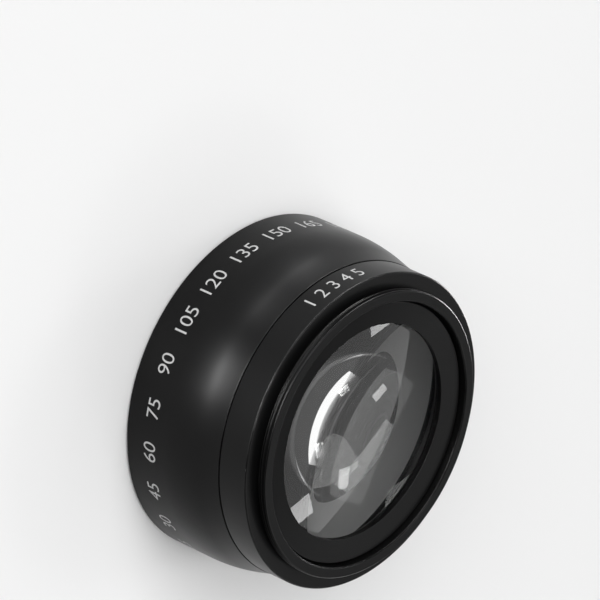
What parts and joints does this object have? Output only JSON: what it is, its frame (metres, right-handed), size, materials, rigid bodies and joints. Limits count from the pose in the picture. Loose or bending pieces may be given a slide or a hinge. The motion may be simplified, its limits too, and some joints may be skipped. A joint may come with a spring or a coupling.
{
  "type": "wide-angle conversion lens",
  "caption": "Screw-on wide-angle converter: a black turned barrel with a hollow-backed front glass and a close-up lens unit that unscrews from its narrow camera end.",
  "frame": {"origin": "centre of the wide front rim's plane, on the optical axis, where the lens stands", "axes": "+Z along the optical axis from the wide front rim towards the narrow camera end; +X and +Y are free because the lens is round"},
  "size_m": [0.0612, 0.0612, 0.0285],
  "materials": {
    "barrel_anodised": "satin black anodised, turned",
    "macro_anodised": "satin black anodised, turned",
    "ring_anodised": "matt black anodised",
    "front_glass": "polished, coated, ground edge",
    "macro_glass": "polished, coated, ground edge"
  },
  "bodies": {
    "barrel": {"front_barrel": "barrel_anodised", "front_element": "front_glass", "front_retaining_ring": "ring_anodised"},
    "macro_glass": {"macro_element": "macro_glass"},
    "macro_unit": {"macro_ring": "macro_anodised", "macro_retaining_ring": "ring_anodised"}
  },
  "joints": [
    {"name": "macro_lift", "type": "slide", "parent": "barrel", "child": "macro_glass", "axis": [0, 0, 1], "range_m": [0, 0.0035]},
    {"name": "macro_turn", "type": "hinge", "parent": "macro_glass", "child": "macro_unit", "pos_m": [0, 0, 0.0204], "axis": [0, 0, 1], "range_deg": [0, 1680]}
  ],
  "couplings": [
    {"joint": "macro_lift", "follows": "macro_turn", "m_per_rad": 0.00011937}
  ]
}
